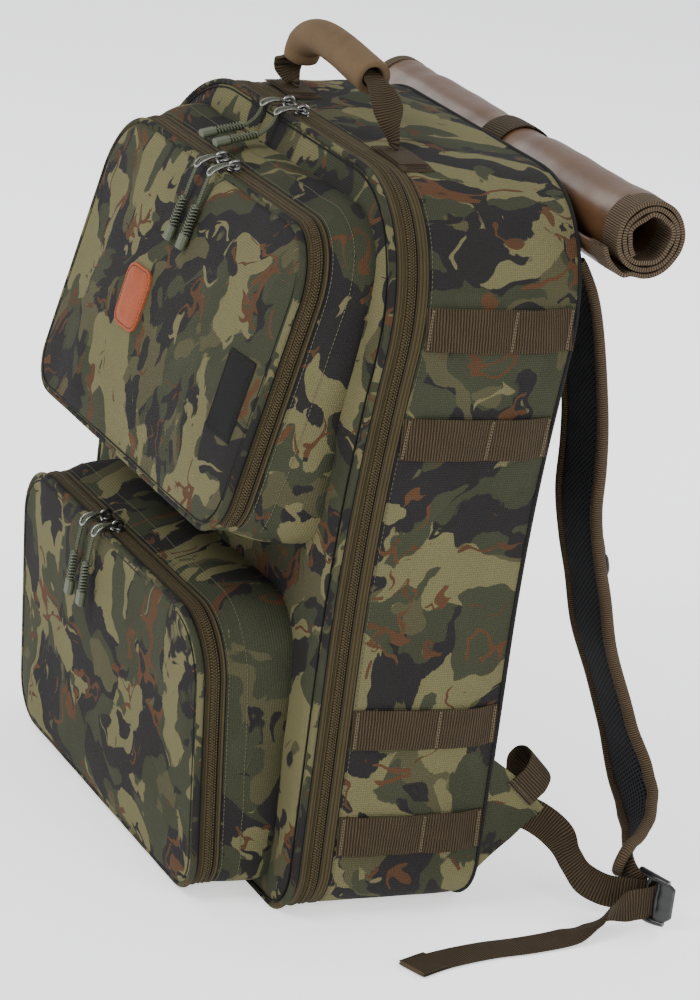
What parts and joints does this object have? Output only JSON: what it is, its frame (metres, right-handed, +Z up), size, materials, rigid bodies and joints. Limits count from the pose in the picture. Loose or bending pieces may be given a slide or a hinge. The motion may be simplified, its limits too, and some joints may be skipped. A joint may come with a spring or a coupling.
{
  "type": "tackle backpack",
  "caption": "Camouflage fabric rucksack with a zip-round main compartment, zipped front pockets, carry handle, rolled mat and padded shoulder straps.",
  "frame": {"origin": "middle of the flat underside of the main compartment", "axes": "+Z up, pockets face -Y, shoulder straps face +Y, +X to the wearer's right"},
  "size_m": [0.6354, 0.3851, 0.5949],
  "materials": {
    "camo_fabric": "matt woven polyester with a camouflage print",
    "zip_tape": "matt woven tape with a moulded coil",
    "webbing": "ribbed webbing, slight sheen",
    "air_mesh": "open spacer mesh over foam",
    "board": "plain sheet",
    "mat_pvc": "glossy coated sheet",
    "leather": "satin, debossed border",
    "zip_metal": "gunmetal plating",
    "pull_cord": "cord with a moulded ribbed grip",
    "foam_grip": "closed-cell foam, matt",
    "buckle_plastic": "moulded, satin"
  },
  "bodies": {
    "bag": {"main_shell": "camo_fabric", "main_zip_tape_rear": "zip_tape", "back_panel": "air_mesh", "back_pad_right": "air_mesh", "back_pad_left": "air_mesh", "frame_sheet": "board", "base_board": "board", "side_loop_right_1": "webbing", "side_loop_right_2": "webbing", "side_loop_right_3": "webbing", "side_loop_right_4": "webbing", "side_loop_left_1": "webbing", "side_loop_left_2": "webbing", "side_loop_left_3": "webbing", "side_loop_left_4": "webbing", "handle_tab_right": "webbing", "handle_tab_left": "webbing", "mat_sheet": "mat_pvc", "mat_binding_left": "webbing", "mat_binding_right": "webbing", "mat_strap": "webbing", "wing_right": "camo_fabric", "wing_left": "camo_fabric"},
    "main_lid": {"main_lid_panel": "camo_fabric", "main_zip_tape_front": "zip_tape", "upper_pocket_shell": "camo_fabric", "lower_pocket_shell": "camo_fabric", "upper_zip_tape_rear": "zip_tape", "lower_zip_tape_rear": "zip_tape"},
    "upper_lid": {"upper_pocket_lid": "camo_fabric", "upper_zip_tape_front": "zip_tape", "leather_patch": "leather"},
    "lower_lid": {"lower_pocket_lid": "camo_fabric", "lower_zip_tape_front": "zip_tape"},
    "main_slider_left": {"main_slider_left": "zip_metal"},
    "main_pull_left": {"main_pull_left": "pull_cord"},
    "main_slider_right": {"main_slider_right": "zip_metal"},
    "main_pull_right": {"main_pull_right": "pull_cord"},
    "upper_slider_left": {"upper_slider_left": "zip_metal"},
    "upper_pull_left": {"upper_pull_left": "pull_cord"},
    "upper_slider_right": {"upper_slider_right": "zip_metal"},
    "upper_pull_right": {"upper_pull_right": "pull_cord"},
    "lower_slider_left": {"lower_slider_left": "zip_metal"},
    "lower_pull_left": {"lower_pull_left": "pull_cord"},
    "lower_slider_right": {"lower_slider_right": "zip_metal"},
    "lower_pull_right": {"lower_pull_right": "pull_cord"},
    "handle": {"handle_grip": "foam_grip", "handle_leg_left": "webbing", "handle_leg_right": "webbing"},
    "strap_right": {"shoulder_pad_right": "air_mesh", "lower_webbing_right": "webbing", "webbing_tail_right": "webbing", "ladder_lock_right": "buckle_plastic"},
    "d_ring_right": {"d_ring_right": "buckle_plastic"},
    "strap_left": {"shoulder_pad_left": "air_mesh", "lower_webbing_left": "webbing", "webbing_tail_left": "webbing", "ladder_lock_left": "buckle_plastic"},
    "d_ring_left": {"d_ring_left": "buckle_plastic"}
  },
  "joints": [
    {"name": "main_lid_hinge", "type": "hinge", "parent": "bag", "child": "main_lid", "pos_m": [0, -0.0585, 0], "axis": [1, 0, 0], "range_deg": [0, 95]},
    {"name": "upper_lid_hinge", "type": "hinge", "parent": "main_lid", "child": "upper_lid", "pos_m": [0, -0.1392, 0.2792], "axis": [1, 0, 0], "range_deg": [0, 100]},
    {"name": "lower_lid_hinge", "type": "hinge", "parent": "main_lid", "child": "lower_lid", "pos_m": [0, -0.122, 0.006], "axis": [1, 0, 0], "range_deg": [0, 90]},
    {"name": "main_slider_left_slide", "type": "slide", "parent": "main_lid", "child": "main_slider_left", "axis": [1, 0, 0], "range_m": [-0.05, 0]},
    {"name": "main_pull_left_swing", "type": "hinge", "parent": "main_slider_left", "child": "main_pull_left", "pos_m": [-0.046, -0.02692, 0.53595], "axis": [-1, 0, 0], "range_deg": [0, 90]},
    {"name": "main_slider_right_slide", "type": "slide", "parent": "main_lid", "child": "main_slider_right", "axis": [1, 0, 0], "range_m": [0, 0.115]},
    {"name": "main_pull_right_swing", "type": "hinge", "parent": "main_slider_right", "child": "main_pull_right", "pos_m": [-0.02, -0.02692, 0.53595], "axis": [-1, 0, 0], "range_deg": [0, 90]},
    {"name": "upper_slider_left_slide", "type": "slide", "parent": "upper_lid", "child": "upper_slider_left", "axis": [1, 0, 0], "range_m": [-0.1, 0]},
    {"name": "upper_pull_left_swing", "type": "hinge", "parent": "upper_slider_left", "child": "upper_pull_left", "pos_m": [-0.012, -0.09066, 0.50243], "axis": [-1, 0, 0], "range_deg": [0, 90]},
    {"name": "upper_slider_right_slide", "type": "slide", "parent": "upper_lid", "child": "upper_slider_right", "axis": [1, 0, 0], "range_m": [0, 0.1]},
    {"name": "upper_pull_right_swing", "type": "hinge", "parent": "upper_slider_right", "child": "upper_pull_right", "pos_m": [0.012, -0.09066, 0.50243], "axis": [-1, 0, 0], "range_deg": [0, 90]},
    {"name": "lower_slider_left_slide", "type": "slide", "parent": "lower_lid", "child": "lower_slider_left", "axis": [1, 0, 0], "range_m": [-0.085, 0]},
    {"name": "lower_pull_left_swing", "type": "hinge", "parent": "lower_slider_left", "child": "lower_pull_left", "pos_m": [-0.036, -0.14009, 0.22074], "axis": [-1, 0, 0], "range_deg": [0, 90]},
    {"name": "lower_slider_right_slide", "type": "slide", "parent": "lower_lid", "child": "lower_slider_right", "axis": [1, 0, 0], "range_m": [0, 0.12]},
    {"name": "lower_pull_right_swing", "type": "hinge", "parent": "lower_slider_right", "child": "lower_pull_right", "pos_m": [-0.012, -0.14009, 0.22074], "axis": [-1, 0, 0], "range_deg": [0, 90]},
    {"name": "handle_swing", "type": "hinge", "parent": "bag", "child": "handle", "pos_m": [0, -0.002, 0.5345], "axis": [-1, 0, 0], "range_deg": [-40, 40]},
    {"name": "strap_right_swing", "type": "hinge", "parent": "bag", "child": "strap_right", "pos_m": [0.15, 0.1038, 0.485], "axis": [1, 0, 0], "range_deg": [0, 12]},
    {"name": "d_ring_right_swing", "type": "hinge", "parent": "strap_right", "child": "d_ring_right", "pos_m": [0.15, 0.1745, 0.25], "axis": [1, 0, 0], "range_deg": [0, 100]},
    {"name": "strap_left_swing", "type": "hinge", "parent": "bag", "child": "strap_left", "pos_m": [-0.15, 0.1038, 0.485], "axis": [1, 0, 0], "range_deg": [0, 12]},
    {"name": "d_ring_left_swing", "type": "hinge", "parent": "strap_left", "child": "d_ring_left", "pos_m": [-0.15, 0.1745, 0.25], "axis": [1, 0, 0], "range_deg": [0, 100]}
  ]
}
